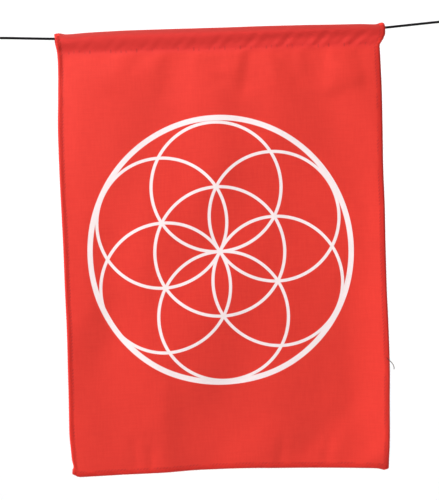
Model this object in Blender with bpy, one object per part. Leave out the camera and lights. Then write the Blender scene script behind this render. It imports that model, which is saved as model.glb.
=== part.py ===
"""A prayer flag that hangs by the casing along its top from a thin taut cord.

The cloth is a light polyester rectangle with narrow hems. Its top is folded to the back and stitched
down, and the cord runs through that casing to a small tied loop at each end.

Sizes are in metres and +Z is up. The origin is where a hook bears inside the left loop. +X runs along
the cord to the right loop, and the printed face of the cloth looks along -Y.
"""

import math
from collections import namedtuple

import bmesh
import bpy
from mathutils import Matrix, Vector

MM = 0.001

# The cord and its two tied ends
CORD_DIAMETER = 1.5 * MM
CORD_RADIUS = CORD_DIAMETER / 2
BEARING_SPAN = 338.0 * MM
RIGHT_BEARING_RISE = 3.0 * MM
LEFT_SLOPE = math.radians(2.75)
RIGHT_SLOPE = math.radians(4.36)
POINT_SPACING = 3 * CORD_DIAMETER
LOOP_SPACING = 1.6 * MM
LOOP_REACH = 20.0 * MM
KNOT_LENGTH = 6.0 * MM
KNOT_HALF_WIDTH = 3.0 * MM
KNOT_HALF_DEPTH = 2.3 * MM
KNOT_BEVEL = 0.9 * MM
KNOT_SIDES = 12

# The cloth as cut and sewn, before it hangs
FLAG_LEFT = 65.7 * MM
FLAG_WIDTH = 205.0 * MM
CASING_DEPTH = 12.7 * MM
PANEL_DROP = 269.0 * MM
CLOTH_THICKNESS = 1.0 * MM
HEM_WIDTH = 3.0 * MM
HEM_STEP = 0.6 * MM
HEM_EXTRA = 0.2 * MM
SEAM_ALLOWANCE = 4.0 * MM
STITCH_HEIGHT = -12.1 * MM
COLUMN_WIDTH = 7.6 * MM
ROW_HEIGHT = 7.8 * MM

# How far in from a side, and below the casing, the cloth follows the side lines and the folds
SIDE_REACH = 24.0 * MM
FOLD_START = 18.0 * MM

# The cord's route, in millimetres, from 0.3 mm clear of one knot to 0.3 mm clear of the other. It is
# held up at both ends, and the cloth bears on it near the casing's mouths, so it bends there.
CORD_ROUTE = [
    (26.27, 0.0, -1.26),
    (36.0, 0.0, -1.73),
    (48.0, 0.0, -2.31),
    (60.0, 0.0, -2.86),
    (70.0, 0.0, -3.10),
    (85.0, 0.0, -3.18),
    (110.0, 0.0, -3.22),
    (140.0, 0.0, -3.22),
    (170.0, 0.0, -3.18),
    (200.0, 0.0, -3.08),
    (230.0, 0.0, -2.94),
    (252.0, 0.0, -2.78),
    (264.0, 0.0, -2.52),
    (275.0, 0.0, -1.83),
    (288.0, 0.0, -0.83),
    (300.0, 0.0, 0.09),
    (311.78, 0.0, 1.00),
]

# One half of an end loop, in millimetres: how far out from the bearing point, and to the side. It
# starts clear of its knot.
LOOP_ROUTE = [
    (-19.6, 0.95),
    (-16.5, 1.45),
    (-12.5, 2.75),
    (-8.5, 3.95),
    (-4.8, 4.30),
    (-1.9, 3.45),
    (0.15, 1.75),
    (0.75, 0.0),
]

# The crease at the top of the casing and the flag's lower edge, in millimetres from the left edge
EdgePoint = namedtuple("EdgePoint", "across height")
CREASE_LINE = [
    EdgePoint(0.0, 0.4),
    EdgePoint(3.0, 0.3),
    EdgePoint(7.0, -0.4),
    EdgePoint(20.0, 0.3),
    EdgePoint(33.0, 0.7),
    EdgePoint(48.0, 1.0),
    EdgePoint(80.0, 1.1),
    EdgePoint(104.0, 1.1),
    EdgePoint(130.0, 1.25),
    EdgePoint(155.0, 1.2),
    EdgePoint(175.0, 0.95),
    EdgePoint(191.0, 0.8),
    EdgePoint(200.0, 0.3),
    EdgePoint(205.0, 1.5),
]
LOWER_LINE = [
    EdgePoint(0.0, -280.7),
    EdgePoint(5.0, -282.7),
    EdgePoint(15.0, -282.5),
    EdgePoint(33.0, -282.0),
    EdgePoint(59.0, -281.4),
    EdgePoint(84.0, -280.3),
    EdgePoint(110.0, -280.0),
    EdgePoint(135.0, -280.6),
    EdgePoint(160.0, -281.2),
    EdgePoint(186.0, -282.0),
    EdgePoint(195.0, -282.3),
    EdgePoint(198.5, -282.6),
    EdgePoint(202.0, -283.5),
    EdgePoint(205.0, -282.6),
]

# How far the two sides stand out (+X is right), in millimetres, down the flag from its crease
SidePoint = namedtuple("SidePoint", "depth left right")
SIDE_LINES = [
    SidePoint(0.0, -1.7, 3.1),
    SidePoint(3.0, -1.9, 3.6),
    SidePoint(6.0, -1.6, 3.6),
    SidePoint(10.0, -0.8, 2.0),
    SidePoint(14.0, 0.1, -0.25),
    SidePoint(20.0, 0.2, -0.1),
    SidePoint(40.0, -0.3, 0.2),
    SidePoint(65.0, -1.0, -0.1),
    SidePoint(90.0, -0.75, -0.4),
    SidePoint(115.0, -0.2, -0.15),
    SidePoint(140.0, 0.3, -0.35),
    SidePoint(165.0, 0.5, -0.3),
    SidePoint(190.0, 0.9, 0.15),
    SidePoint(215.0, 0.7, 0.4),
    SidePoint(240.0, 0.45, -0.2),
    SidePoint(255.0, 0.2, -0.5),
    SidePoint(268.0, 1.2, -1.0),
    SidePoint(282.0, 1.9, -1.8),
]

# Half of the casing's section, in millimetres: the cloth's two faces from the crease down to the
# stitching. The pressed crease stands a little above the cord, whose sides the cloth bears on.
CasingRow = namedtuple("CasingRow", "outer_side outer_depth inner_side inner_depth")
CASING_ROWS = [
    CasingRow(0.80, 0.25, 0.42, 1.18),
    CasingRow(1.40, 0.95, 0.78, 1.60),
    CasingRow(1.85, 1.90, 1.04, 2.20),
    CasingRow(2.08, 2.90, 1.12, 3.00),
    CasingRow(2.08, 5.00, 1.12, 5.00),
    CasingRow(1.75, 8.00, 0.75, 8.00),
    CasingRow(1.30, 10.8, 0.30, 10.8),
]
CREASE_THICKNESS = 1.0 * MM

# The soft folds of the panel, in millimetres: where each runs at its upper and lower end, how wide it
# is to each side of its line, how far it stands towards -Y (a trough is negative), and how far it
# goes on as it dies away beyond its two ends
Fold = namedtuple("Fold", "upper_across upper_depth lower_across lower_depth width height fade")
FOLDS = [
    Fold(177.0, 214.0, 139.0, 247.0, 54.0, -0.39, 22.0),
    Fold(158.0, 108.0, 158.0, 228.0, 36.0, -0.5, 30.0),
    Fold(26.0, -7.0, 74.0, 103.0, 39.0, 0.45, 30.0),
    Fold(130.0, 173.0, 82.0, 283.0, 24.0, -0.59, 30.0),
    Fold(195.0, 158.0, 105.0, 238.0, 33.0, -0.42, 30.0),
    Fold(27.0, 53.0, 75.0, 163.0, 24.0, 0.57, 30.0),
    Fold(69.0, 51.0, 31.0, 85.0, 54.0, 0.24, 22.0),
    Fold(196.0, 173.0, 148.0, 283.0, 24.0, -0.47, 30.0),
    Fold(161.0, 138.0, 161.0, 258.0, 22.0, -0.5, 30.0),
    Fold(187.0, 33.0, 208.0, 78.0, 14.0, 0.76, 12.0),
    Fold(137.0, 113.0, 185.0, 223.0, 24.0, -0.41, 30.0),
    Fold(100.0, -42.0, 100.0, 78.0, 13.0, 0.67, 30.0),
    Fold(29.0, -12.0, 29.0, 108.0, 22.0, 0.34, 30.0),
    Fold(154.0, 23.0, 202.0, 133.0, 14.0, -0.45, 30.0),
    Fold(210.0, 264.0, 172.0, 297.0, 12.0, 0.53, 12.0),
    Fold(201.0, 138.0, 201.0, 258.0, 8.0, 0.78, 30.0),
    Fold(112.0, 128.0, 23.0, 208.0, 19.0, -0.25, 30.0),
    Fold(28.0, 168.0, 28.0, 288.0, 13.0, -0.36, 30.0),
    Fold(139.0, 18.0, 139.0, 68.0, 13.0, 0.36, 12.0),
    Fold(33.0, 173.0, -15.0, 283.0, 14.0, -0.3, 30.0),
    Fold(79.0, 23.0, 30.0, 133.0, 14.0, -0.26, 30.0),
    Fold(185.0, 239.0, 147.0, 272.0, 12.0, -0.3, 12.0),
    Fold(61.0, 230.0, 61.0, 280.0, 8.0, 0.37, 12.0),
    Fold(172.0, 18.0, 172.0, 138.0, 13.0, -0.22, 30.0),
    Fold(125.0, 68.0, 36.0, 148.0, 19.0, 0.13, 30.0),
]
# The whole panel bellies out a little, down its length and from side to side, and gravity brings its
# middle back under the cord. All four are in millimetres.
BELLY = 4.2
SIDE_BELLY = 0.62
SET_BACK = 4.0
FOLD_BALANCE = 0.6

PIECE_COLOURS = {
    "cloth": ((0.83, 0.045, 0.035, 1.0), 0.55),
    "cord": ((0.012, 0.012, 0.013, 1.0), 0.6),
}


def clear_scene():
    for thing in list(bpy.data.objects):
        bpy.data.objects.remove(thing, do_unlink=True)


def material(name):
    """A plain finish for the piece in its own colour."""
    colour, roughness = PIECE_COLOURS[name]
    finish = bpy.data.materials.new(name)
    finish.use_nodes = True
    shader = finish.node_tree.nodes["Principled BSDF"]
    shader.inputs["Base Color"].default_value = colour
    shader.inputs["Roughness"].default_value = roughness
    shader.inputs["Metallic"].default_value = 0.0
    return finish


def link(name, data, finish):
    piece = bpy.data.objects.new(name, data)
    piece.data.materials.append(finish)
    bpy.context.scene.collection.objects.link(piece)
    return piece


def ease(share):
    """0 to 1 with a soft start and end."""
    share = min(max(share, 0.0), 1.0)
    return share * share * (3.0 - 2.0 * share)


def read_table(rows, key, column, value):
    """The column's value where the key column passes the given value, eased from row to row."""
    if value <= getattr(rows[0], key):
        return getattr(rows[0], column)
    for low, high in zip(rows, rows[1:]):
        if value <= getattr(high, key):
            step = getattr(high, key) - getattr(low, key)
            share = ease((value - getattr(low, key)) / step)
            return getattr(low, column) * (1.0 - share) + getattr(high, column) * share
    return getattr(rows[-1], column)


def fold_height(across, depth):
    """How far the panel's folds bring it towards -Y, from millimetres across and down the flag."""
    total = 0.0
    for fold in FOLDS:
        length = fold.lower_depth - fold.upper_depth
        share = min(max((depth - fold.upper_depth) / length, 0.0), 1.0)
        line = fold.upper_across + (fold.lower_across - fold.upper_across) * share
        beyond = max(fold.upper_depth - depth, depth - fold.lower_depth, 0.0)
        side = math.exp(-(((across - line) / fold.width) ** 2))
        end = math.exp(-((beyond / fold.fade) ** 2))
        total += fold.height * side * end
    return total


def hang(across, depth, offset):
    """Where a point of the flat flag lies once it hangs. All values are in metres."""
    crease = read_table(CREASE_LINE, "across", "height", across / MM) * MM
    lower = read_table(LOWER_LINE, "across", "height", across / MM) * MM
    if depth <= CASING_DEPTH:
        height = crease + (STITCH_HEIGHT - crease) * depth / CASING_DEPTH
    else:
        height = STITCH_HEIGHT + (lower - STITCH_HEIGHT) * (depth - CASING_DEPTH) / PANEL_DROP
    left = read_table(SIDE_LINES, "depth", "left", depth / MM) * MM
    right = read_table(SIDE_LINES, "depth", "right", depth / MM) * MM
    near_left = ease(1.0 - across / SIDE_REACH)
    near_right = ease(1.0 - (FLAG_WIDTH - across) / SIDE_REACH)
    x = FLAG_LEFT + across + left * near_left + right * near_right
    sideways = across / FLAG_WIDTH
    down = max(depth - CASING_DEPTH, 0.0) / PANEL_DROP
    folds = fold_height(across / MM, depth / MM) + SIDE_BELLY * 4 * sideways * (1.0 - sideways)
    swell = ease((depth - CASING_DEPTH) / FOLD_START) * (folds - FOLD_BALANCE)
    swell += BELLY * 4 * down * (1.0 - down) - SET_BACK * down
    return Vector((x, offset - swell * MM, height))


def flag_columns():
    """The places across the flag where its section is set, with the steps at the side hems."""
    hems = [0.0, HEM_WIDTH - HEM_STEP, HEM_WIDTH]
    inner_width = FLAG_WIDTH - 2 * HEM_WIDTH
    count = round(inner_width / COLUMN_WIDTH)
    inner = [HEM_WIDTH + inner_width * i / count for i in range(1, count)]
    return hems + inner + [FLAG_WIDTH - place for place in reversed(hems)]


def panel_rows():
    """The depths of the panel's rows, from the seam allowance down to the lower edge."""
    top = CASING_DEPTH + SEAM_ALLOWANCE
    bottom = CASING_DEPTH + PANEL_DROP
    count = round((bottom - HEM_WIDTH - top) / ROW_HEIGHT)
    span = bottom - HEM_WIDTH - top
    rows = [top + span * i / count for i in range(count + 1)]
    return rows + [bottom - HEM_WIDTH + HEM_STEP, bottom]


def section_faces(mesh):
    """The cloth's section at the left edge, flat in the YZ plane: a panel that ends in a casing."""

    def point(offset, depth):
        return mesh.verts.new((0.0, offset, -depth))

    faces = []
    rows = panel_rows()
    front = [point(-CLOTH_THICKNESS, depth) for depth in rows]
    back = [point(0.0, depth) for depth in rows]
    for i in range(len(rows) - 1):
        faces.append(mesh.faces.new((front[i], back[i], back[i + 1], front[i + 1])))
    allowance_back = point(CLOTH_THICKNESS, rows[0])
    stitch_front = point(-CLOTH_THICKNESS, CASING_DEPTH)
    stitch_middle = point(0.0, CASING_DEPTH)
    stitch_back = point(CLOTH_THICKNESS, CASING_DEPTH)
    faces.append(mesh.faces.new((stitch_front, stitch_middle, back[0], front[0])))
    faces.append(mesh.faces.new((stitch_middle, stitch_back, allowance_back, back[0])))

    outer_tip = point(0.0, 0.0)
    inner_tip = point(0.0, CREASE_THICKNESS)
    for side, outer_end in ((-1, stitch_front), (1, stitch_back)):
        outer = [point(side * row.outer_side * MM, row.outer_depth * MM) for row in CASING_ROWS]
        inner = [point(side * row.inner_side * MM, row.inner_depth * MM) for row in CASING_ROWS]
        outer = [outer_tip] + outer + [outer_end]
        inner = [inner_tip] + inner + [stitch_middle]
        for i in range(len(outer) - 1):
            faces.append(mesh.faces.new((outer[i], inner[i], inner[i + 1], outer[i + 1])))
    return faces


def in_hem(across, depth):
    side = min(across, FLAG_WIDTH - across)
    below = CASING_DEPTH + PANEL_DROP - depth
    return depth > CASING_DEPTH + SEAM_ALLOWANCE and min(side, below) < HEM_WIDTH - HEM_STEP / 2


def flag_mesh():
    """Sweeps the section across the flag and then hangs every point of it."""
    mesh = bmesh.new()
    faces = section_faces(mesh)
    columns = flag_columns()
    for left, right in zip(columns, columns[1:]):
        section = faces
        swept = bmesh.ops.extrude_face_region(mesh, geom=section)["geom"]
        corners = [item for item in swept if isinstance(item, bmesh.types.BMVert)]
        faces = [item for item in swept if isinstance(item, bmesh.types.BMFace)]
        bmesh.ops.translate(mesh, verts=corners, vec=(right - left, 0.0, 0.0))
        if left > 0.0:
            # Only the first section and the last stay, as the two side edges of the cloth
            bmesh.ops.delete(mesh, geom=section, context="FACES")
    middle = -CLOTH_THICKNESS / 2
    for corner in mesh.verts:
        across, offset, depth = corner.co.x, corner.co.y, -corner.co.z
        if in_hem(across, depth):
            offset += math.copysign(HEM_EXTRA, offset - middle)
        corner.co = hang(across, depth, offset)
    bmesh.ops.recalc_face_normals(mesh, faces=mesh.faces)
    data = bpy.data.meshes.new("flag")
    mesh.to_mesh(data)
    mesh.free()
    data.shade_smooth()
    return data


def smooth_route(points, spacing):
    """Evenly spaced points along one smooth curve through the route's own points."""
    ends = [2 * points[0] - points[1]] + points + [2 * points[-1] - points[-2]]
    steps_per_span = 24
    dense = [points[0]]
    for before, start, end, after in zip(ends, ends[1:], ends[2:], ends[3:]):
        for step in range(1, steps_per_span + 1):
            t = step / steps_per_span
            linear = (end - before) * t
            square = (2 * before - 5 * start + 4 * end - after) * t**2
            cube = (3 * start - before - 3 * end + after) * t**3
            dense.append(start + (linear + square + cube) / 2)
    lengths = [0.0]
    for start, end in zip(dense, dense[1:]):
        lengths.append(lengths[-1] + (end - start).length)
    count = max(2, round(lengths[-1] / spacing))
    even = []
    place = 0
    for i in range(count + 1):
        target = lengths[-1] * i / count
        while place < len(dense) - 2 and lengths[place + 1] < target:
            place += 1
        span = lengths[place + 1] - lengths[place]
        even.append(dense[place].lerp(dense[place + 1], (target - lengths[place]) / span))
    return even


def tube(name, points, finish):
    """A round cord along the points, with closed ends."""
    data = bpy.data.curves.new(name, "CURVE")
    data.dimensions = "3D"
    data.bevel_depth = CORD_RADIUS
    data.bevel_resolution = 2
    data.use_fill_caps = True
    spline = data.splines.new("POLY")
    spline.points.add(len(points) - 1)
    for corner, place in zip(spline.points, points):
        corner.co = (*place, 1.0)
    return link(name, data, finish)


def end_frame(side):
    """An end's bearing point, its outward direction and its upward one; side is -1 left, 1 right."""
    slope = LEFT_SLOPE if side < 0 else RIGHT_SLOPE
    bearing = Vector((0.0, 0.0, 0.0))
    if side > 0:
        bearing = Vector((BEARING_SPAN, 0.0, RIGHT_BEARING_RISE))
    outward = Vector((side * math.cos(slope), 0.0, math.sin(slope)))
    upward = Vector((-side * math.sin(slope), 0.0, math.cos(slope)))
    return bearing, outward, upward


def loop(name, side, finish):
    """The end of the cord, out from its knot, round the bearing point and back to the knot."""
    bearing, outward, upward = end_frame(side)
    half = [bearing + outward * (out * MM) + upward * (up * MM) for out, up in LOOP_ROUTE]
    other = [bearing + outward * (out * MM) - upward * (up * MM) for out, up in LOOP_ROUTE[-2::-1]]
    return tube(name, smooth_route(half + other, LOOP_SPACING), finish)


def knot(name, side, finish):
    """The outer form of the wraps round the loop's two legs, with a flat end to each cord."""
    bearing, outward, upward = end_frame(side)
    mesh = bmesh.new()
    bmesh.ops.create_cone(
        mesh,
        cap_ends=True,
        segments=KNOT_SIDES,
        radius1=1.0,
        radius2=1.0,
        depth=KNOT_LENGTH,
    )
    bmesh.ops.scale(mesh, verts=mesh.verts, vec=(KNOT_HALF_WIDTH, KNOT_HALF_DEPTH, 1.0))
    rims = [edge for edge in mesh.edges if abs(edge.verts[0].co.z - edge.verts[1].co.z) < 1e-6]
    bmesh.ops.bevel(
        mesh,
        geom=rims,
        offset=KNOT_BEVEL,
        segments=2,
        profile=0.5,
        affect="EDGES",
        material=-1,
    )
    turn = Matrix((upward, upward.cross(outward), outward)).transposed().to_4x4()
    centre = bearing - outward * (LOOP_REACH + KNOT_LENGTH / 2)
    data = bpy.data.meshes.new(name)
    mesh.to_mesh(data)
    mesh.free()
    data.shade_smooth()
    piece = link(name, data, finish)
    turn.translation = centre
    piece.matrix_world = turn
    return piece


def main():
    clear_scene()
    cloth = material("cloth")
    cord = material("cord")
    link("flag", flag_mesh(), cloth)
    route = [Vector(place) * MM for place in CORD_ROUTE]
    tube("cord", smooth_route(route, POINT_SPACING), cord)
    for word, side in (("left", -1), ("right", 1)):
        loop(f"{word}_loop", side, cord)
        knot(f"{word}_knot", side, cord)


main()
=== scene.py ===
# %% [markdown]
# # A prayer flag on a taut cord
#
# This lesson dresses one small cloth flag that hangs by its casing from a thin black cord. A CAD
# model already has every solid at its real size. Each step makes a finer piece in the place of its
# solid and gives it a finish. Sizes are in metres, the cord runs along X, Z is up, and the printed
# face of the cloth looks along -Y.

# %% Load the measured solids
import math

import bmesh
import bpy
import numpy as np
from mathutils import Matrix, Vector


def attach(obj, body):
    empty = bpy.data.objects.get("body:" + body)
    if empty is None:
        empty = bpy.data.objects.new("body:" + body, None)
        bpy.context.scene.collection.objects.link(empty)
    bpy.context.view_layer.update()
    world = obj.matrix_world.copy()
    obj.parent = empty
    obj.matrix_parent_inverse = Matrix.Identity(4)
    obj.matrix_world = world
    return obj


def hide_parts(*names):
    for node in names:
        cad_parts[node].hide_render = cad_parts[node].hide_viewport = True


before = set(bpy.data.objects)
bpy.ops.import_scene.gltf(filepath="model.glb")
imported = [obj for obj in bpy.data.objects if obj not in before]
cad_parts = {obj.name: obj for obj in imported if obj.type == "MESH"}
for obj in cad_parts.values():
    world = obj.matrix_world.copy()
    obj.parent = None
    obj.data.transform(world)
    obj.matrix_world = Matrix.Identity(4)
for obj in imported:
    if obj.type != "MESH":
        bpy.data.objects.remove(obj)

MM = 0.001
scene = bpy.context.scene
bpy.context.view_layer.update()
print("solids:", sorted(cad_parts))

# %% [markdown]
# ## The camera
#
# The flag is seen straight on, from about as far as someone holds it to look at it. A long lens
# keeps the sides of the cloth parallel. The cloth hangs upright here, so the small lean that it has
# in the picture comes from turning the camera about its own line of sight.

# %% Set up the camera
LENS = 100.0
SENSOR = 36.0
PICTURE_HEIGHT = 318.0 * MM
PICTURE_CENTRE = (165.0 * MM, 0.0, -140.25 * MM)
LEAN = math.radians(1.65)

camera = bpy.data.objects.new("camera", bpy.data.cameras.new("camera"))
camera.data.lens = LENS
camera.data.sensor_width = SENSOR
distance = PICTURE_HEIGHT * LENS / SENSOR
camera.location = Vector(PICTURE_CENTRE) - Vector((0.0, distance, 0.0))
camera.rotation_euler = (math.radians(90.0), LEAN, 0.0)
scene.collection.objects.link(camera)
scene.camera = camera
print(f"camera {distance:.3f} m in front of the cloth")

# %% [markdown]
# ## The cord's route
#
# The cord is one length: out of a knot, round a small loop, back through the knot, along the casing
# and the same again at the far end. Listing a few points and drawing one smooth curve through them
# keeps every bend soft. The points are the CAD route's, so the cord lies where its solids lie.

# %% Lay the route of the cord
CORD_DIAMETER = 1.5 * MM
BEARING_SPAN = 338.0 * MM
RIGHT_BEARING_RISE = 3.0 * MM
LEFT_SLOPE = math.radians(2.75)
RIGHT_SLOPE = math.radians(4.36)
CORD_STEP = 0.42 * MM
SPAN_STEPS = 24
CORD_LINE = [
    (26.27, -1.26), (36, -1.73), (48, -2.31), (60, -2.86), (70, -3.10), (85, -3.18), (110, -3.22),
    (140, -3.22), (170, -3.18), (200, -3.08), (230, -2.94), (252, -2.78), (264, -2.52),
    (275, -1.83), (288, -0.83), (300, 0.09), (311.78, 1.00),
]
# One half of a loop: how far out from the point that bears on a hook, and how far to the side
LOOP_LINE = [
    (-22.6, 0.62), (-19.6, 0.95), (-16.5, 1.45), (-12.5, 2.75), (-8.5, 3.95), (-4.8, 4.30),
    (-1.9, 3.45), (0.15, 1.75), (0.75, 0.0),
]
TAIL_LINE = [(-19.6, -0.95), (-24.4, -0.95)]


def end_frame(side):
    """The bearing point of an end, its outward and its upward direction; side is -1 or 1."""
    slope = LEFT_SLOPE if side < 0 else RIGHT_SLOPE
    bearing = Vector((0.0, 0.0, 0.0))
    if side > 0:
        bearing = Vector((BEARING_SPAN, 0.0, RIGHT_BEARING_RISE))
    outward = Vector((side * math.cos(slope), 0.0, math.sin(slope)))
    upward = Vector((-side * math.sin(slope), 0.0, math.cos(slope)))
    return bearing, outward, upward


def loop_points(side):
    """From the knot's mouth out along one leg, round the loop, and back into the knot."""
    bearing, outward, upward = end_frame(side)
    back = [(out, -up) for out, up in LOOP_LINE[-2:1:-1]]
    return [
        bearing + outward * (out * MM) + upward * (up * MM)
        for out, up in LOOP_LINE + back + TAIL_LINE
    ]


def smooth_route(points, spacing):
    """Evenly spaced points along one smooth curve through the given points."""
    ends = [2 * points[0] - points[1]] + points + [2 * points[-1] - points[-2]]
    dense = [points[0]]
    for before, start, end, after in zip(ends, ends[1:], ends[2:], ends[3:]):
        for step in range(1, SPAN_STEPS + 1):
            t = step / SPAN_STEPS
            linear = (end - before) * t
            square = (2 * before - 5 * start + 4 * end - after) * t**2
            cube = (3 * start - before - 3 * end + after) * t**3
            dense.append(start + (linear + square + cube) / 2)
    places = np.array(dense)
    lengths = np.concatenate([[0.0], np.cumsum(np.linalg.norm(np.diff(places, axis=0), axis=1))])
    even = np.linspace(0.0, lengths[-1], max(2, round(lengths[-1] / spacing)) + 1)
    columns = [np.interp(even, lengths, places[:, axis]) for axis in range(3)]
    return [Vector(place) for place in np.stack(columns, axis=1)], lengths[-1]


line_points = [Vector((x * MM, 0.0, z * MM)) for x, z in CORD_LINE]
cord_route, cord_length = smooth_route(
    loop_points(-1)[::-1] + line_points + loop_points(1), CORD_STEP
)
print(f"cord: {cord_length * 1000:.0f} mm in {len(cord_route)} points")

# %% [markdown]
# ## Turning a route into twisted cord
#
# The real cord is three plies laid round each other. Three separate helices would be heavy, so the
# section gets three lobes instead, and each point of the route turns it a little further. A curve
# does this by itself: its bevel object is the section and its tilt is the twist. It is then made a
# mesh, because the section would otherwise stay in the scene as a piece of its own.

# %% Sweep a lobed section along the cord
PLIES = 3
PLY_DEPTH = 0.1
# The grooves between the plies lie on the nominal radius, and the tops of the plies stand past it
PLY_OUTSIDE = 1.1
SECTION_POINTS = 21
LAY_LENGTH = 6.5 * MM


def new_curve(name, routes, tilts=None):
    """A curve object with one open line for each route."""
    data = bpy.data.curves.new(name, "CURVE")
    data.dimensions = "3D"
    data.use_fill_caps = True
    for route in routes:
        line = data.splines.new("POLY")
        line.points.add(len(route) - 1)
        line.points.foreach_set("co", [value for place in route for value in (*place, 1.0)])
        if tilts is not None:
            line.points.foreach_set("tilt", tilts)
    made = bpy.data.objects.new(name, data)
    scene.collection.objects.link(made)
    return made


def as_mesh(curve):
    """The curve's own surface as a mesh object of the same name, in place of the curve."""
    graph = bpy.context.evaluated_depsgraph_get()
    data = bpy.data.meshes.new_from_object(curve.evaluated_get(graph))
    name = curve.name
    bpy.data.objects.remove(curve, do_unlink=True)
    data.name = name
    data.shade_smooth()
    made = bpy.data.objects.new(name, data)
    scene.collection.objects.link(made)
    return made


def ply_section():
    """The lobed outline of the cord, as a small closed curve."""
    data = bpy.data.curves.new("ply section", "CURVE")
    line = data.splines.new("POLY")
    line.points.add(SECTION_POINTS - 1)
    for i, corner in enumerate(line.points):
        angle = 2 * math.pi * i / SECTION_POINTS
        lobe = abs(math.cos(PLIES * angle / 2)) ** 0.8
        radius = CORD_DIAMETER / 2 * (PLY_OUTSIDE - PLY_DEPTH * (1 - lobe))
        corner.co = (radius * math.cos(angle), radius * math.sin(angle), 0.0, 1.0)
    line.use_cyclic_u = True
    made = bpy.data.objects.new("ply section", data)
    scene.collection.objects.link(made)
    return made


def twisted_cord(name, route, step):
    """A mesh of twisted cord along a route of evenly spaced points."""
    section = ply_section()
    turn = 2 * math.pi * step / LAY_LENGTH
    curve = new_curve(name, [route], [turn * i for i in range(len(route))])
    curve.data.bevel_mode = "OBJECT"
    curve.data.bevel_object = section
    piece = as_mesh(curve)
    bpy.data.objects.remove(section, do_unlink=True)
    return piece


cord = twisted_cord("twisted_cord", cord_route, CORD_STEP)
print("cord faces:", len(cord.data.polygons))

# %% [markdown]
# ## The knots
#
# Each loop is closed by four wraps of the same cord round its two legs. A knot could be one twisted
# lump, but the turns are what the eye looks for, so the wraps are a short helix on an oval, tight
# enough that its turns lie side by side. Its first end is tucked between the legs, and its last end
# stays out as the short sealed tail.

# %% Wrap the knots
WRAPS = 4
WRAP_WIDTH = 2.25 * MM
WRAP_DEPTH = 1.52 * MM
WRAP_PITCH = 1.42 * MM
KNOT_MIDDLE = 23.0 * MM
WRAP_STEPS = 16
TUCK_TURN = 0.3
TUCK_SHARE = 0.45
# The tail that stays out: how far past the last wrap and how far to the side, in millimetres
TAIL_POINTS = [(0.55, -0.5), (1.2, -0.8), (2.0, -0.9)]


def wrap_points(side):
    """The helix of wraps round the two legs of a loop, and its tail."""
    bearing, outward, upward = end_frame(side)
    behind = Vector((0.0, 1.0, 0.0))
    middle = bearing - outward * KNOT_MIDDLE
    points = []
    for i in range(WRAPS * WRAP_STEPS + 1):
        turn = i / WRAP_STEPS
        tuck = 1.0
        if turn <= TUCK_TURN:
            tuck = TUCK_SHARE + (1 - TUCK_SHARE) * math.sin(math.pi / 2 * turn / TUCK_TURN)
        angle = 2 * math.pi * turn + math.pi / 2
        up = WRAP_WIDTH * tuck * math.cos(angle)
        back = WRAP_DEPTH * tuck * math.sin(angle)
        along = (turn - WRAPS / 2) * WRAP_PITCH
        points.append(middle + outward * along + upward * up + behind * back)
    for out, up in TAIL_POINTS:
        along = WRAPS / 2 * WRAP_PITCH + out * MM
        points.append(middle + outward * along + upward * (up * MM) + behind * WRAP_DEPTH)
    return points


knots = []
for side, name in ((-1, "left"), (1, "right")):
    route, length = smooth_route(wrap_points(side), CORD_STEP)
    knots.append(twisted_cord(f"{name}_knot_wraps", route, CORD_STEP))
    print(f"{name} knot: {length * 1000:.0f} mm of cord in its wraps")

# %% [markdown]
# ## Shader sums in plain Python
#
# A procedural finish is a chain of small nodes. To keep it readable, this class wraps one output of
# a node. Adding or multiplying wrapped values adds the Math nodes, and its node() method adds any
# other kind of node: the settings first, then the numbers or links for the inputs.

# %% A small language for materials


class Wire:
    """One output of a node, which can be used in sums."""

    def __init__(self, tree, socket=None):
        self.tree = tree
        self.socket = socket

    def node(self, kind, settings=None, inputs=None, output=0):
        """Add a node to the same tree and return one of its outputs."""
        added = self.tree.nodes.new(kind)
        for name, value in (settings or {}).items():
            setattr(added, name, value)
        for name, value in (inputs or {}).items():
            if isinstance(value, Wire):
                self.tree.links.new(value.socket, added.inputs[name])
            else:
                added.inputs[name].default_value = value
        return Wire(self.tree, added.outputs[output])

    def math(self, operation, *values):
        return self.node("ShaderNodeMath", {"operation": operation}, dict(enumerate(values)))

    def __add__(self, other):
        return self.math("ADD", self, other)

    __radd__ = __add__

    def __sub__(self, other):
        return self.math("SUBTRACT", self, other)

    def __rsub__(self, other):
        return self.math("SUBTRACT", other, self)

    def __mul__(self, other):
        return self.math("MULTIPLY", self, other)

    __rmul__ = __mul__


def start_finish(name, roughness, **constants):
    """A new material, its Principled shader with the constants set on it, and an empty wire."""
    finish = bpy.data.materials.new(name)
    finish.use_nodes = True
    shader = finish.node_tree.nodes["Principled BSDF"]
    shader.inputs["Roughness"].default_value = roughness
    for socket, value in constants.items():
        shader.inputs[socket.replace("_", " ")].default_value = value
    return finish, shader, Wire(finish.node_tree)


def feed(shader, wire, socket):
    """Link a wire to one input of a shader."""
    wire.tree.links.new(wire.socket, shader.inputs[socket])


def blend(share, first, second):
    """The first colour where share is 0 and the second where it is 1."""
    settings = {"data_type": "RGBA", "blend_type": "MIX"}
    return share.node("ShaderNodeMix", settings, {0: share, 6: first, 7: second}, output=2)


def smooth_step(value, low, high):
    """0 below low, 1 above high and eased in between."""
    settings = {"interpolation_type": "SMOOTHSTEP"}
    inputs = {"Value": value, "From Min": low, "From Max": high}
    return value.node("ShaderNodeMapRange", settings, inputs)


def grain(wire, size, detail=2.0, where=None):
    """Soft noise from 0 to 1 with grains of that size, in the object's own space or in where's."""
    place = where or wire.node("ShaderNodeTexCoord", output="Object")
    inputs = {"Vector": place, "Scale": 1 / size, "Detail": detail}
    return wire.node("ShaderNodeTexNoise", None, inputs)


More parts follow.
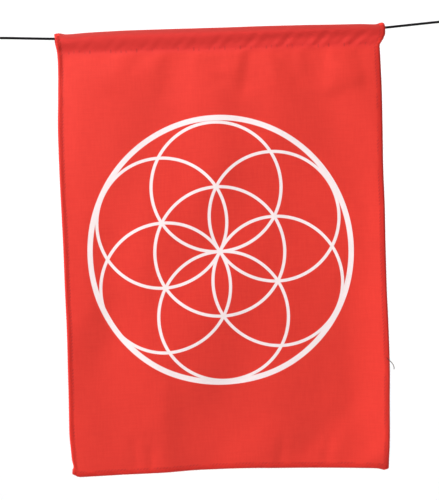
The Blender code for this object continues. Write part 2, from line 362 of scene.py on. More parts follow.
def bump(wire, height, reach, strength=1.0):
    """Relief for a shader's Normal: height 0 to 1 stands for reach metres."""
    inputs = {"Strength": strength, "Distance": reach, "Height": height}
    return wire.node("ShaderNodeBump", None, inputs)


print("shader helpers ready")

# %% [markdown]
# ## The black cord's finish
#
# Dyed twisted thread is nearly black and a little shiny where the plies turn to the light. The
# lobes are real shape already. Fine grain adds the fibres, which also break up the shine.

# %% Finish the cord and its knots
FIBRE_SIZE = 0.16 * MM

cord_finish, shader, wire = start_finish("black twisted cord", 0.6, Specular_IOR_Level=0.08)
fibres = grain(wire, FIBRE_SIZE, 3.0)
wear = grain(wire, 4 * MM)
charcoal = blend(wear, (0.004, 0.004, 0.004, 1.0), (0.010, 0.009, 0.010, 1.0))
feed(shader, charcoal, "Base Color")
feed(shader, 0.5 + fibres * 0.3, "Roughness")
feed(shader, bump(wire, fibres, 0.08 * MM, 0.7), "Normal")
for piece in [cord] + knots:
    piece.data.materials.append(cord_finish)
    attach(piece, "root")
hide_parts("cord", "left_loop", "right_loop")
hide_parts("left_knot")
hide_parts("right_knot")
print("cord dressed")

# %% [markdown]
# ## Where a point of the cloth hangs
#
# The flag is one flat rectangle before it is hung. Across is measured from its left side, and along
# runs down its face from the top crease, so that points with along below zero are on the part turned
# to the back. One function takes such a flat point to its place in space. The mesh and the stitches
# both use it, so they stay together wherever the cloth goes.

# %% The flag's outline and its casing
FLAG_LEFT = 65.7
FLAG_WIDTH = 205.0
CASING_DEPTH = 12.7
PANEL_DROP = 269.0
FLAG_DEPTH = CASING_DEPTH + PANEL_DROP
SEAM_ALLOWANCE = 4.0
STITCH_HEIGHT = -12.1
CLOTH_THICKNESS = 0.26
PANEL_MIDDLE = -0.5
SIDE_REACH = 24.0

# Height of the top crease and of the lower edge: (across, height), in millimetres
CREASE_LINE = [
    (0, -0.2), (1.3, 0.3), (3, 0.4), (7, -0.4), (20, 0.3), (33, 0.7), (48, 1.0), (80, 1.1),
    (104, 1.1), (130, 1.25), (155, 1.2), (175, 0.95), (191, 0.8), (200, 0.35), (203.4, 1.4),
    (205, 0.9),
]
LOWER_LINE = [
    (0, -280.7), (5, -282.7), (15, -282.5), (33, -282.0), (59, -281.4), (84, -280.3),
    (110, -280.0), (135, -280.6), (160, -281.2), (186, -282.0), (195, -282.3), (198.5, -282.6),
    (202, -283.5), (205, -282.6),
]
# How far the sides stand out to the right: (depth, left, right, left of the turned part)
SIDE_LINES = [
    (0, -1.9, 3.1, -1.7), (3, -1.4, 3.6, -1.9), (6, -0.9, 3.6, -1.6), (10, -0.6, 2.0, -0.8),
    (14, -0.2, -0.25, 0.1), (20, 0.1, -0.1, 0.2), (40, -0.3, 0.2, 0), (65, -1.0, -0.1, 0),
    (90, -0.75, -0.4, 0), (115, -0.2, -0.15, 0), (140, 0.3, -0.35, 0), (165, 0.5, -0.3, 0),
    (190, 0.9, 0.15, 0), (215, 0.7, 0.4, 0), (240, 0.45, -0.2, 0), (255, 0.2, -0.5, 0),
    (267, 0.9, -0.9, 0), (272, 1.2, -1.2, 0), (277, 2.1, -1.5, 0), (279.5, 1.3, -1.6, 0),
    (282, 1.2, -1.8, 0),
]


def ease(share):
    """0 to 1 with a soft start and end."""
    share = np.clip(share, 0.0, 1.0)
    return share * share * (3.0 - 2.0 * share)


def read_line(rows, column, place):
    """A column of a table at any place, on a smooth curve that never passes beyond its rows."""
    table = np.array(rows, float)
    key, value = table[:, 0], table[:, column]
    fall = np.diff(value) / np.diff(key)
    before, after = fall[:-1], fall[1:]
    level = before * after <= 0.0
    inner = np.where(level, 0.0, 2 * before * after / np.where(level, 1.0, before + after))
    slope = np.concatenate([fall[:1], inner, fall[-1:]])
    place = np.clip(place, key[0], key[-1])
    row = np.clip(np.searchsorted(key, place) - 1, 0, len(key) - 2)
    step = key[row + 1] - key[row]
    t = (place - key[row]) / step
    rise = value[row + 1] - value[row]
    leave, arrive = slope[row] * step - rise, slope[row + 1] * step - rise
    return value[row] + rise * t + t * (1 - t) * (leave * (1 - t) - arrive * t)


# %% [markdown]
# ## Folds and puckers
#
# Cloth simulation would drape the flag, but it would put the folds where it likes. This flag was
# pressed flat and hangs almost straight, and its soft folds are part of how it looks, so each one is
# placed on its own: a low ridge, or a trough where its height is negative, with a start, an end, a
# width and a height. The heights are the ones at which the light on the cloth looks right. Small
# puckers under the casing and above the lower hem come from the pull of the stitching and are made
# the same way. Last, the whole panel bellies out a little and sets back under the cord.

# %% Place the folds
# (upper across, upper depth, lower across, lower depth, width, height, fade), in millimetres
FOLDS = [
    (177, 214, 139, 247, 54, -0.44, 22),
    (158, 108, 158, 228, 36, -0.56, 30),
    (26, -7, 74, 103, 39, 0.50, 30),
    (130, 173, 82, 283, 24, -0.66, 30),
    (195, 158, 105, 238, 33, -0.47, 30),
    (27, 53, 75, 163, 24, 0.64, 30),
    (69, 51, 31, 85, 54, 0.27, 22),
    (196, 173, 148, 283, 24, -0.53, 30),
    (161, 138, 161, 258, 22, -0.56, 30),
    (187, 33, 208, 78, 14, 0.85, 12),
    (137, 113, 185, 223, 24, -0.46, 30),
    (100, -42, 100, 78, 13, 0.75, 30),
    (29, -12, 29, 108, 22, 0.38, 30),
    (154, 23, 202, 133, 14, -0.50, 30),
    (210, 264, 172, 297, 12, 0.59, 12),
    (201, 138, 201, 258, 8, 0.87, 30),
    (112, 128, 23, 208, 19, -0.28, 30),
    (28, 168, 28, 288, 13, -0.40, 30),
    (139, 18, 139, 68, 13, 0.40, 12),
    (33, 173, -15, 283, 14, -0.34, 30),
    (79, 23, 30, 133, 14, -0.29, 30),
    (185, 239, 147, 272, 12, -0.34, 12),
    (206, 138, 206, 258, 5, 0.72, 30),
    (61, 230, 61, 280, 8, 0.41, 12),
    (172, 18, 172, 138, 13, -0.25, 30),
    (125, 68, 36, 148, 19, 0.15, 30),
    (120, 251, 82, 285, 12, -0.21, 12),
    (150, 113, 102, 223, 14, -0.18, 30),
    (181, 138, 181, 258, 8, -0.31, 30),
    (85, 189, 47, 222, 12, 0.18, 12),
    (16, 48, 16, 168, 8, 0.21, 30),
    (86, -12, 86, 108, 8, 0.21, 30),
    (71, 128, -19, 208, 12, 0.13, 30),
    (91, 218, 1, 298, 12, 0.11, 30),
    (201, 18, 201, 138, 5, 0.19, 30),
    (11, 30, 11, 80, 5, 0.13, 12),
    (51, 108, 51, 228, 5, 0.09, 30),
    (205, 83, 157, 193, 5, 0.07, 30),
]
FOLD_START = 18.0
FOLD_BALANCE = 0.6
PUCKER_START = 4.0
FLARE = 0.5
FLARE_START = 4.5
FLARE_END = 30.0
BELLY = 4.2
SIDE_BELLY = 0.62
SET_BACK = 4.0
# The same for the pull of the stitching, which starts right at the casing
PUCKERS = [
    (179, 28, 185, 34, 9.1, 0.43, 5),
    (101, 24, 103, 32, 7.2, -0.37, 5),
    (178, 22, 174, 40, 7.2, 0.36, 5),
    (16, 21, 28, 35, 9.1, 0.24, 5),
    (158, 24, 170, 38, 9.1, 0.21, 5),
    (72, 22, 68, 40, 7.2, -0.24, 5),
    (167, 13, 161, 19, 9.1, -0.18, 5),
    (122, 19, 118, 37, 4.7, -0.34, 5),
    (41, 15, 39, 23, 7.2, 0.20, 5),
    (192, 19, 196, 37, 4.7, -0.20, 5),
    (65, 12, 63, 20, 4.7, 0.17, 5),
    (127, 27, 125, 35, 4.7, -0.17, 5),
    (4, 16, 0, 34, 3.1, -0.22, 5),
    (89, 15, 87, 23, 4.7, 0.15, 5),
    (140, 18, 152, 32, 3.9, -0.16, 5),
    (150, 7, 146, 25, 4.7, -0.12, 5),
    (53, 19, 47, 25, 5.9, -0.10, 5),
    (118, 7, 114, 25, 3.1, 0.15, 5),
    (134, 16, 138, 34, 3.1, 0.13, 5),
    (153, 18, 155, 26, 3.1, 0.13, 5),
    (175, 15, 173, 23, 3.1, 0.11, 5),
    (106, 10, 110, 28, 3.1, 0.09, 5),
    (41, 262, 42, 276, 3.2, -0.25, 4),
    (52, 268, 52, 277, 3.0, -0.22, 3),
    (136, 266, 134, 277, 3.5, -0.25, 4),
    (167, 264, 163, 277, 3.5, -0.22, 4),
]


def ridge(across, depth, fold):
    """The height of one fold at a point of the cloth."""
    upper_across, upper_depth, lower_across, lower_depth, width, height, fade = fold
    share = np.clip((depth - upper_depth) / (lower_depth - upper_depth), 0.0, 1.0)
    line = upper_across + (lower_across - upper_across) * share
    beyond = np.maximum(np.maximum(upper_depth - depth, depth - lower_depth), 0.0)
    return height * np.exp(-(((across - line) / width) ** 2) - (beyond / fade) ** 2)


def panel_swell(across, depth):
    """How far the panel stands towards -Y of its flat plane."""
    growth = ease((depth - CASING_DEPTH) / FOLD_START)
    folds = sum(ridge(across, depth, fold) for fold in FOLDS)
    below = np.maximum(depth - CASING_DEPTH, 0.0)
    share = below / PANEL_DROP
    sideways = across / FLAG_WIDTH
    total = growth * (folds - FOLD_BALANCE + SIDE_BELLY * 4 * sideways * (1 - sideways))
    total = total + BELLY * 4 * share * (1 - share) - SET_BACK * share
    puckers = sum(ridge(across, depth, fold) for fold in PUCKERS)
    total = total + puckers * ease(below / PUCKER_START)
    return total + FLARE * (1.0 - np.exp(-below / FLARE_START)) * np.exp(-below / FLARE_END)


print("folds:", len(FOLDS), "puckers:", len(PUCKERS))

# %% [markdown]
# ## The casing round the cord
#
# Above the stitching the cloth is double. It closes round the cord like a thin lens: steep and tight
# at the pressed crease, widest where the cord passes, and flat again where the two layers are sewn
# together. The gathers of that seam also show as slanting ripples across the casing.

# %% Hang a point of the cloth
CASING_HALF = 0.98
LAYER_GAP = 0.17
# Where the casing closes below the cord. It starts to close later near the left side. Towards the
# right it both starts and ends sooner, from one place across the flag and over some distance.
FALL_END = CASING_DEPTH - 0.6
LATE_FALL, LATE_REACH = 2.0, 40.0
SOONER_FROM, SOONER_REACH = 60.0, 110.0
SOONER_START, SOONER_END = 1.3, 3.6
SEAM_EASE = 1.5
# The ripples are two slanting waves, and they grow towards the right, where the seam is fuller
RIPPLE_HEIGHT = 0.07
RIPPLE_PITCHES = (7.4, 11.3)
RIPPLE_SLANT = 0.9
RIPPLE_CALM, RIPPLE_GROWTH, RIPPLE_REACH = 0.5, 0.9, 120.0
HEM_WIDTH = 2.9
HEM_ROUNDING = 1.5
HEM_RELIEF = 0.03
GROOVE_INSET = 0.3
GROOVE_WIDTH = 0.9
GROOVE_SHARE = 0.5


def casing_half(across, depth, crease):
    """Half the thickness of the casing, between the middles of its two layers."""
    cord_height = read_line(CORD_LINE, 1, FLAG_LEFT + across)
    cord_depth = crease - cord_height
    t = np.clip(depth / cord_depth, 0.0, 1.0)
    nose = CASING_HALF * np.sqrt(1.0 - (1.0 - t) ** 2)
    sooner = ease((across - SOONER_FROM) / SOONER_REACH)
    late = ease(1.0 - across / LATE_REACH)
    fall_start = cord_depth + LATE_FALL * late - SOONER_START * sooner
    fall_end = FALL_END - SOONER_END * sooner
    fall = ease((depth - fall_start) / (fall_end - fall_start))
    return nose + (LAYER_GAP - CASING_HALF) * fall


def hem_relief(across, depth):
    """The overlocked edge is a little thicker, with a groove where its needle thread pulls."""
    edge = np.minimum(np.minimum(across, FLAG_WIDTH - across), FLAG_DEPTH - depth)
    groove = np.exp(-(((edge - HEM_WIDTH - GROOVE_INSET) / GROOVE_WIDTH) ** 2))
    return HEM_RELIEF * (ease((HEM_WIDTH - edge) / HEM_ROUNDING) - GROOVE_SHARE * groove)


def hang(across, along):
    """Where a flat point of the cloth lies, in metres, as an array of points."""
    across, along = np.broadcast_arrays(np.asarray(across, float), np.asarray(along, float))
    depth = np.abs(along)
    turned = along < 0.0
    crease = read_line(CREASE_LINE, 1, across)
    lower = read_line(LOWER_LINE, 1, across)
    share = np.clip((depth - CASING_DEPTH) / PANEL_DROP, 0.0, None)
    above = crease + (STITCH_HEIGHT - crease) * np.minimum(depth / CASING_DEPTH, 1.0)
    height = above + (lower - STITCH_HEIGHT) * share
    left = read_line(SIDE_LINES, 1, depth)
    left = np.where(turned, read_line(SIDE_LINES, 3, depth), left)
    right = read_line(SIDE_LINES, 2, depth)
    near_left = ease(1.0 - across / SIDE_REACH)
    near_right = ease(1.0 - (FLAG_WIDTH - across) / SIDE_REACH)
    x = FLAG_LEFT + across + left * near_left + right * near_right

    in_casing = 1.0 - ease((depth - CASING_DEPTH + SEAM_EASE) / (2 * SEAM_EASE))
    turns = 2 * math.pi * (across + depth * RIPPLE_SLANT)
    ripple = np.sin(turns / RIPPLE_PITCHES[0]) + np.sin(turns / RIPPLE_PITCHES[1] + 1.0)
    ripple = RIPPLE_HEIGHT * ripple * ease(depth / CASING_DEPTH) * in_casing
    growth = ease((across - SOONER_FROM) / RIPPLE_REACH)
    ripple = ripple * (RIPPLE_CALM + RIPPLE_GROWTH * growth)
    middle = PANEL_MIDDLE * ease(depth / CASING_DEPTH)
    half = casing_half(across, depth, crease)
    swell = panel_swell(across, depth) * (1.0 - in_casing) + ripple
    front = middle + LAYER_GAP - half - swell - hem_relief(across, depth)
    behind = middle + LAYER_GAP + half - panel_swell(across, depth) * (1.0 - in_casing)
    y = np.where(turned, behind, front)
    return np.stack([x, y, height], axis=-1) * MM


print("crease middle at", hang(100.0, 0.0), "lower corner at", hang(0.0, FLAG_DEPTH))

# %% [markdown]
# ## The cloth itself
#
# A flat grid is the cloth before it is hung. Its columns are even and its rows crowd together at the
# crease and along the lower hem, where the cloth turns or puckers sharply. The flat position of each
# corner is kept as the UV map, so the print and the weave follow the cloth through every fold. Then
# each corner is hung, and a Solidify modifier gives the cloth its thickness and its reverse side.

# %% Weave the sheet
COLUMNS = 157
ROWS_OF_STEPS = [
    (-16.7, -13.0, 4), (-13.0, -1.0, 13), (-1.0, -0.2, 3), (-0.2, 0.2, 4), (0.2, 1.0, 3),
    (1.0, 22.0, 25), (22.0, 262.0, 170), (262.0, 281.7, 21),
]
rows = [
    start + (end - start) * i / steps
    for start, end, steps in ROWS_OF_STEPS
    for i in range(steps)
] + [FLAG_DEPTH]

sheet = bmesh.new()
bmesh.ops.create_grid(sheet, x_segments=COLUMNS, y_segments=len(rows) - 1, size=0.5)
flat_map = sheet.loops.layers.uv.new("cloth")
for corner in sheet.verts:
    row = round((0.5 - corner.co.y) * (len(rows) - 1))
    corner.co.x = (corner.co.x + 0.5) * FLAG_WIDTH
    corner.co.y = -rows[row]
for face in sheet.faces:
    for loop in face.loops:
        loop[flat_map].uv = (loop.vert.co.x * MM, -loop.vert.co.y * MM)
flag_data = bpy.data.meshes.new("printed_flag")
sheet.to_mesh(flag_data)
sheet.free()
flat = np.empty(len(flag_data.vertices) * 3)
flag_data.vertices.foreach_get("co", flat)
flat = flat.reshape(-1, 3)
flag_data.vertices.foreach_set("co", hang(flat[:, 0], -flat[:, 1]).ravel())
flag_data.update()
flag_data.shade_smooth()

flag = bpy.data.objects.new("printed_flag", flag_data)
scene.collection.objects.link(flag)
thickness = flag.modifiers.new("cloth thickness", "SOLIDIFY")
thickness.thickness = CLOTH_THICKNESS * MM
thickness.offset = 0.0
thickness.material_offset = 1
middle_face = flag_data.polygons[len(flag_data.polygons) // 2]
print("cloth faces:", len(flag_data.polygons), "normal in the middle:", middle_face.normal)

# %% [markdown]
# ## The overlock stitching
#
# The raw edges are bound by a three-thread overlock. Two looper threads run in a zigzag, one on each
# face, and meet round the edge, and a needle thread pins them down along a straight line. At arm's
# length this gives the hem its deeper colour and the fine marks along its inner side; the cloth's
# finish adds to both, with a deeper red that is partly painted shade and with painted shadows along
# the needle line. A texture could suggest it, but the threads also roughen the outline, so they are
# real threads here: open lines on the hung cloth, given a round section.

# %% Sew the hems
THREAD = 0.11
STITCH = 2.1
OVERLOCK_WIDTH = 2.8
# One stitch of a looper thread: how far along the stitch, how far in from the edge, and the height
# over the face of the cloth. Then the needle thread's line, and its two heights in turn.
LOOPER_PATH = [(0.0, OVERLOCK_WIDTH, 1.0), (0.32, 0.9, 1.15), (0.5, -0.2, 0.1), (0.68, 0.9, 1.15)]
NEEDLE_INSET = OVERLOCK_WIDTH + 0.15
NEEDLE_LIFT = 1.2
NEEDLE_SUNK = -0.02


def on_cloth(across, along, height):
    """Points that stand at a height from the cloth's middle, towards the face where positive."""
    place = hang(across, along)
    step = 0.25
    along_x = hang(across + step, along) - hang(across - step, along)
    along_z = hang(across, along + step) - hang(across, along - step)
    normal = np.cross(along_z, along_x)
    normal = -normal / np.linalg.norm(normal, axis=-1, keepdims=True)
    return place + normal * np.asarray(height, float)[..., None] * MM


def overlock(edge_point, start, end):
    """Three routes along an edge. edge_point takes (inset, along the edge) to (across, along)."""
    count = round((end - start) / STITCH)
    half = CLOTH_THICKNESS / 2 + THREAD * 0.6
    half_steps = start + (end - start) * np.arange(2 * count + 1) / (2 * count)
    routes = []
    for face in (1, -1):
        columns = []
        for shift, reach, lift in LOOPER_PATH:
            place = half_steps[:-1:2] + shift * STITCH
            columns.append((np.full(count, reach), place, np.full(count, face * half * lift)))
        inset, place, height = np.stack(columns, axis=2).reshape(3, -1)
        routes.append(on_cloth(*edge_point(inset, place), height))
    odd = np.arange(len(half_steps)) % 2
    height = np.where(odd == 1, half * NEEDLE_LIFT, NEEDLE_SUNK)
    inset = np.full(len(half_steps), NEEDLE_INSET)
    routes.append(on_cloth(*edge_point(inset, half_steps), height))
    return routes


def threads(name, routes, width):
    """A mesh of round threads along the routes; the width is in millimetres."""
    curve = new_curve(name, routes)
    curve.data.bevel_depth = width / 2 * MM
    curve.data.bevel_resolution = 0
    return as_mesh(curve)


turned_edge = -CASING_DEPTH - SEAM_ALLOWANCE
hem_routes = overlock(lambda inset, place: (inset, place), turned_edge, FLAG_DEPTH)
hem_routes += overlock(lambda inset, place: (FLAG_WIDTH - inset, place), turned_edge, FLAG_DEPTH)
hem_routes += overlock(lambda inset, place: (place, FLAG_DEPTH - inset), 0.0, FLAG_WIDTH)
hem_routes += overlock(lambda inset, place: (place, turned_edge + inset), 0.5, FLAG_WIDTH - 0.5)
hems = threads("overlocked_hems", hem_routes, THREAD * 2)
print("hem threads:", len(hems.data.polygons), "faces")

# %% [markdown]
# ## The casing seam and a loose end
#
# A straight lockstitch closes the casing. It shows as short dashes on both sides. One end of the
# overlock thread has also worked loose on the right side, as such ends do, and stands off the edge.

# %% Sew the casing
SEAM_STITCH = 2.5
SEAM_THREAD = 0.26
# Heights of the thread in four quarters of a stitch, over the middle of the cloth
SEAM_DASH = [0.24, 0.272, 0.24, -0.08]
LOOSE_THREAD = 0.5
seam_places = np.arange(1.5, FLAG_WIDTH - 1.5, SEAM_STITCH / 4)
dash = np.array(SEAM_DASH)[np.arange(len(seam_places)) % len(SEAM_DASH)]
seam_routes = [
    on_cloth(seam_places, np.full(len(seam_places), side * CASING_DEPTH), dash)
    for side in (1, -1)
]
seam = threads("casing_seam", seam_routes, SEAM_THREAD)

LOOSE_END = [
    (269.2, -0.7, -211.4), (269.9, -0.9, -212.4), (271.0, -1.1, -213.6), (272.3, -1.0, -214.9),
    (273.3, -0.8, -216.5), (273.8, -0.7, -218.3), (273.6, -0.6, -219.2),
]
loose_route, loose_length = smooth_route([Vector(place) * MM for place in LOOSE_END], 0.4 * MM)
loose = threads("loose_thread", [loose_route], LOOSE_THREAD)
print("seam faces:", len(seam.data.polygons), f"loose end: {loose_length * 1000:.1f} mm")

# %% [markdown]
# ## The printed cloth
#
# The print is a traditional figure: seven equal circles, one in the middle and six round it whose
# centres lie on it, all inside one larger ring. A compass draws it, and the shader does the same: a
# point is on a line where its distance from a centre differs from the radius by less than half the
# line. The ring was printed a little out of round, so its points are stretched before they are
# measured. On the reverse the ink shows as a pale ghost.
#
# The weave is a plain one, far finer than the picture shows, so it only softens the shine, and what
# the eye sees are soft streaks where a thread is thicker, whose paler, whiter tone is partly painted
# sheen. The colour is painted darker where the cloth is double and along the pressed crease, as
# painted shade. On the hems it is deeper, partly for the thread and partly as painted shade, and
# small painted shadows follow the stitches that pull the cloth in.

# %% Print and weave the cloth
PRINT_CENTRE = (99.5 * MM, 142.3 * MM, 0.0)
PRINT_TURN = math.radians(-1.7)
CIRCLE_RADIUS = 41.2 * MM
CIRCLE_LINE = 1.95 * MM
RING_RADIUS = 83.6 * MM
RING_LINE = 3.4 * MM
RING_CENTRE = (0.56 * MM, -0.85 * MM, 0.0)
RING_OVAL = (1.0085, 0.9915, 1.0)
INK_EDGE = 0.22 * MM
THREAD_PITCH = 0.34 * MM
SLUB_LENGTH = 11 * MM
SLUB_WIDTH = 1.1 * MM
# The streaks change the colour's whiteness more than its red: random tone where threads are thicker,
# and partly painted sheen
SLUB_SHEEN_PALE = (1.02, 1.10, 1.10, 1.0)
SLUB_SHEEN_DEEP = (0.983, 0.91, 0.91, 1.0)
# Where a mask goes from 1 to 0, as depths below the crease or distances from the edge
DOUBLED_SHADE_FADE = (11.5 * MM, 17.5 * MM)
CREASE_SHADE_FADE = (0.3 * MM, 4.2 * MM)
HEM_FADE = (2.7 * MM, 3.5 * MM)
SEAM_SHADOW_FADE = (0.7 * MM, 1.6 * MM)
NEEDLE_SHADOW_FADE = (0.3 * MM, 0.9 * MM)
NEEDLE_SHADOW_INSET = 3.1 * MM
SEAM_BEAT = 3.3 * MM
DYE_PATCH = 30 * MM
RED = (0.80, 0.0305, 0.017, 1.0)
# The hems are a deeper red, partly for the thread that covers them and partly as painted shade, as
# less light shows through the bound edge
HEM_THREAD_AND_SHADE_RED = (0.74, 0.024, 0.013, 1.0)
# Painted shade: the casing is darker where the cloth is double, as less light shows through two
# layers and the cord shades it
DOUBLED_SHADE_RED = (0.705, 0.0215, 0.0155, 1.0)
# Painted shade: the colour is darker along the pressed crease
CREASE_SHADE_RED = (0.46, 0.0215, 0.015, 1.0)
# Painted shadow: small dark marks where the casing stitches pull the cloth in
STITCH_SHADOW_RED = (0.57, 0.016, 0.012, 1.0)
# Painted shadow: small dark dots along the overlock's needle line
NEEDLE_SHADOW_RED = (0.50, 0.014, 0.012, 1.0)
INK = (0.99, 0.885, 0.89, 1.0)
GHOST = (0.86, 0.16, 0.13, 1.0)
BACK_RED = (0.74, 0.034, 0.026, 1.0)


def circle_line(wire, place, centre, radius, width):
    """1 on the line of one circle and 0 elsewhere."""
    distance = {"operation": "DISTANCE"}
    away = wire.node("ShaderNodeVectorMath", distance, {0: place, 1: centre}, output="Value")
    from_line = wire.math("ABSOLUTE", away - radius)
    return 1 - smooth_step(from_line, width / 2 - INK_EDGE, width / 2 + INK_EDGE)


def print_mask(wire, flat_place):
    """1 on the printed lines and 0 elsewhere."""
    settings = {"vector_type": "TEXTURE"}
    inputs = {"Vector": flat_place, "Location": PRINT_CENTRE, "Rotation": (0.0, 0.0, PRINT_TURN)}
    paper = wire.node("ShaderNodeMapping", settings, inputs)
    stretch = {"operation": "MULTIPLY"}
    oval = wire.node("ShaderNodeVectorMath", stretch, {0: paper, 1: RING_OVAL})
    mask = circle_line(wire, oval, RING_CENTRE, RING_RADIUS, RING_LINE)
    centres = [(0.0, 0.0, 0.0)]
    for i in range(6):
        angle = math.radians(60.0 * i + 30.0)
        centres.append((CIRCLE_RADIUS * math.cos(angle), CIRCLE_RADIUS * math.sin(angle), 0.0))
    for centre in centres:
        line = circle_line(wire, paper, centre, CIRCLE_RADIUS, CIRCLE_LINE)
        mask = wire.math("MAXIMUM", mask, line)
    return mask


def across_and_along(wire, flat_place):
    """The two parts of a flat place: across from the left side and along from the crease."""
    across = wire.node("ShaderNodeSeparateXYZ", None, {0: flat_place})
    return across, Wire(wire.tree, across.socket.node.outputs[1])


def plain_weave(wire, flat_place):
    """The height of a plain weave: warp and weft rise over each other in turn."""
    waves = [
        wire.math("SINE", part * (math.pi / THREAD_PITCH))
        for part in across_and_along(wire, flat_place)
    ]
    return wire.math("ABSOLUTE", waves[0] * waves[1])


def slubs(wire, flat_place):
    """Soft streaks along the warp and the weft, where threads are a little thicker."""
    streaks = []
    for size in ((SLUB_LENGTH, SLUB_WIDTH, 1.0), (SLUB_WIDTH, SLUB_LENGTH, 1.0)):
        divide = {"operation": "DIVIDE"}
        place = wire.node("ShaderNodeVectorMath", divide, {0: flat_place, 1: size})
        streaks.append(grain(wire, 1.0, 2.0, place))
    return smooth_step(streaks[0] + streaks[1], 0.7, 1.3)


def edge_distance(wire, flat_place):
    """How far a point of the cloth is from the nearest overlocked edge."""
    across, along = across_and_along(wire, flat_place)
    edge = wire.math("MINIMUM", across, FLAG_WIDTH * MM - across)
    edge = wire.math("MINIMUM", edge, FLAG_DEPTH * MM - along)
    return wire.math("MINIMUM", edge, along - turned_edge * MM)


def hem_mask(wire, flat_place):
    """1 on the overlocked edges and 0 on the open cloth."""
    return 1 - smooth_step(edge_distance(wire, flat_place), *HEM_FADE)


def needle_shadows(wire, flat_place):
    """1 in the small shadows where the overlock's needle thread pulls the cloth in."""
    across, along = across_and_along(wire, flat_place)
    away = wire.math("ABSOLUTE", edge_distance(wire, flat_place) - NEEDLE_SHADOW_INSET)
    near = 1 - smooth_step(away, *NEEDLE_SHADOW_FADE)
    beat = wire.math("SINE", (across + along) * (2 * math.pi / (STITCH * MM)))
    patchy = smooth_step(grain(wire, 9 * MM, 1.0, flat_place), 0.32, 0.58)
    return near * (0.4 + 0.4 * beat) * patchy


def casing_shade_masks(wire, flat_place):
    """Two masks of painted shade: 1 on the double cloth of the casing, and 1 along its pressed
    crease.
    """
    across, along = across_and_along(wire, flat_place)
    depth = wire.math("ABSOLUTE", along)
    return 1 - smooth_step(depth, *DOUBLED_SHADE_FADE), 1 - smooth_step(depth, *CREASE_SHADE_FADE)


def stitch_shadows(wire, flat_place):
    """1 in the small shadows where the casing stitches pull the cloth in."""
    across, along = across_and_along(wire, flat_place)
    away = wire.math("ABSOLUTE", along - CASING_DEPTH * MM)
    near = 1 - smooth_step(away, *SEAM_SHADOW_FADE)
    beat = wire.math("SINE", across * (2 * math.pi / SEAM_BEAT))
    patchy = smooth_step(grain(wire, 6 * MM, 1.0, flat_place), 0.42, 0.62)
    return near * smooth_step(beat, 0.3, 0.9) * patchy


def cloth_finish(name, colour, ink, ink_share):
    """A finish for one face of the cloth, with its own ground colour and ink."""
    finish, shader, wire = start_finish(
        name, 0.7, Specular_IOR_Level=0.4, Sheen_Weight=0.03, Sheen_Roughness=0.45
    )
    flat_place = wire.node("ShaderNodeUVMap", {"uv_map": "cloth"})
    mask = print_mask(wire, flat_place)
    weave = plain_weave(wire, flat_place)
    dye = grain(wire, DYE_PATCH, 3.0, flat_place)
    ground = blend(dye, colour, tuple(part * 0.93 for part in colour[:3]) + (1.0,))
    # Streaks of random tone whose whiter side is partly painted sheen
    streaks = blend(slubs(wire, flat_place), SLUB_SHEEN_PALE, SLUB_SHEEN_DEEP)
    times = {"data_type": "RGBA", "blend_type": "MULTIPLY"}
    ground = wire.node("ShaderNodeMix", times, {0: 1.0, 6: ground, 7: streaks}, output=2)
    doubled_shade, crease_shade = casing_shade_masks(wire, flat_place)
    # Painted shade on the double cloth of the casing, and darker still along its crease
    ground = blend(doubled_shade, ground, DOUBLED_SHADE_RED)
    ground = blend(crease_shade, ground, CREASE_SHADE_RED)
    # Painted shadows at the casing stitches
    ground = blend(stitch_shadows(wire, flat_place), ground, STITCH_SHADOW_RED)
    # Deeper red on the hems, for their thread and partly as painted shade
    ground = blend(hem_mask(wire, flat_place), ground, HEM_THREAD_AND_SHADE_RED)
    # Painted shadows along the overlock's needle line
    ground = blend(needle_shadows(wire, flat_place), ground, NEEDLE_SHADOW_RED)
    speckle = grain(wire, 0.5 * MM, 2.0, flat_place)
    cover = mask * (ink_share - 0.1 * speckle)
    feed(shader, blend(cover, ground, ink), "Base Color")
    feed(shader, 0.68 + 0.05 * mask + 0.1 * weave, "Roughness")
    feed(shader, bump(wire, weave, 0.05 * MM, 0.35), "Normal")
    return finish


flag_data.materials.append(cloth_finish("printed red polyester", RED, INK, 1.0))
flag_data.materials.append(cloth_finish("reverse of the print", BACK_RED, GHOST, 0.8))
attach(flag, "root")
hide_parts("flag")
print("cloth printed, woven and declared")

# %% [markdown]
# ## The sewing threads' finish
#
# The overlock thread is a soft fluffy one in the same red. It shades itself, so it looks deeper than
# the smooth cloth. The loose end is nearly black.

# %% Finish the threads
THREAD_LIGHT = (0.78, 0.034, 0.023, 1.0)
THREAD_DARK = (0.65, 0.025, 0.017, 1.0)
LOOSE_LIGHT = (0.10, 0.030, 0.030, 1.0)
LOOSE_DARK = (0.04, 0.014, 0.014, 1.0)


def thread_finish(name, light, dark):
    """A soft sewing thread whose fibres go from the dark to the light colour."""
    finish, shader, wire = start_finish(name, 0.62, Specular_IOR_Level=0.3)
    fuzz = grain(wire, 0.12 * MM, 3.0)
    feed(shader, blend(fuzz, dark, light), "Base Color")
    feed(shader, 0.55 + 0.2 * fuzz, "Roughness")
    feed(shader, bump(wire, fuzz, 0.05 * MM, 0.6), "Normal")
    return finish


red_thread = thread_finish("red sewing thread", THREAD_LIGHT, THREAD_DARK)
dark_thread = thread_finish("loose thread end", LOOSE_LIGHT, LOOSE_DARK)
for piece, finish in ((hems, red_thread), (seam, red_thread), (loose, dark_thread)):
    piece.data.materials.append(finish)
    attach(piece, "root")
print("threads dressed")

# %% [markdown]
# ## The studio
#
# The floor is a wide pale disc that curves up into a wall all round, so every view has the same
# plain background without a horizon. It is spun from a profile of a few points. Most of the light
# on the cloth comes from one lamp at the upper left, low enough across it to draw its folds. The
# lamp's spread is narrow, so that it misses the walls, and the white sky and the pale paper add only
# a little. A second lamp brightens the wall behind the flag.

# %% Build the floor and light it
FLOOR_HEIGHT = -0.75
STUDIO_RADIUS = 3.2
CURVE_RADIUS = 1.0
WALL_TOP = 1.6
CURVE_STEPS = 12
PAPER = (0.86, 0.86, 0.86, 1.0)
PAPER_GLOW = 0.09
SKY_STRENGTH = 0.085
WHITE = (1.0, 1.0, 1.0, 1.0)

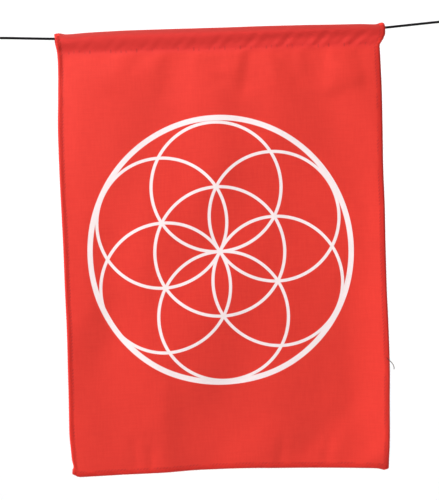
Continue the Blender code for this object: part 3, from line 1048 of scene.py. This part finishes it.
studio = bmesh.new()
profile = [(0.0, FLOOR_HEIGHT), (STUDIO_RADIUS - CURVE_RADIUS, FLOOR_HEIGHT)]
for i in range(1, CURVE_STEPS + 1):
    angle = math.pi / 2 * i / CURVE_STEPS
    out = STUDIO_RADIUS - CURVE_RADIUS + CURVE_RADIUS * math.sin(angle)
    profile.append((out, FLOOR_HEIGHT + CURVE_RADIUS * (1 - math.cos(angle))))
profile.append((STUDIO_RADIUS, WALL_TOP))
corners = [studio.verts.new((out, 0.0, height)) for out, height in profile]
edges = [studio.edges.new(pair) for pair in zip(corners, corners[1:])]
bmesh.ops.spin(
    studio,
    geom=corners + edges,
    cent=(0.0, 0.0, 0.0),
    axis=(0.0, 0.0, 1.0),
    angle=2 * math.pi,
    steps=96,
    use_merge=True,
)
bmesh.ops.remove_doubles(studio, verts=studio.verts, dist=1e-5)
bmesh.ops.recalc_face_normals(studio, faces=studio.faces)
bmesh.ops.reverse_faces(studio, faces=studio.faces)
bmesh.ops.translate(studio, verts=studio.verts, vec=(PICTURE_CENTRE[0], 0.0, 0.0))
backdrop_data = bpy.data.meshes.new("pale_studio")
studio.to_mesh(backdrop_data)
studio.free()
backdrop_data.shade_smooth()
backdrop = bpy.data.objects.new("pale_studio", backdrop_data)
scene.collection.objects.link(backdrop)
paper, shader, _ = start_finish("pale paper", 0.9, Specular_IOR_Level=0.1)
shader.inputs["Base Color"].default_value = PAPER
shader.inputs["Emission Color"].default_value = WHITE
shader.inputs["Emission Strength"].default_value = PAPER_GLOW
backdrop_data.materials.append(paper)

world = bpy.data.worlds.new("white sky")
world.use_nodes = True
sky = world.node_tree.nodes["Background"]
sky.inputs["Color"].default_value = WHITE
sky.inputs["Strength"].default_value = SKY_STRENGTH
scene.world = world


def soft_lamp(name, place, target, size, power, spread=180.0):
    """A square lamp turned to a target. Both places are measured from the flag's middle."""
    data = bpy.data.lights.new(name, "AREA")
    data.size = size
    data.energy = power
    data.spread = math.radians(spread)
    lamp = bpy.data.objects.new(name, data)
    lamp.location = Vector(PICTURE_CENTRE) + Vector(place)
    lamp.rotation_euler = (Vector(target) - Vector(place)).to_track_quat("-Z", "Y").to_euler()
    lamp.visible_camera = False
    scene.collection.objects.link(lamp)


soft_lamp("key", (-2.10, -1.02, 2.38), (0.0, 0.0, 0.0), 0.9, 13.25, 40.0)
soft_lamp("backdrop lamp", (0.0, 0.8, 1.5), (0.0, 3.2, 0.0), 1.0, 54.5)
scene.view_settings.view_transform = "Standard"
print("studio ready, shown with the plain view transform")
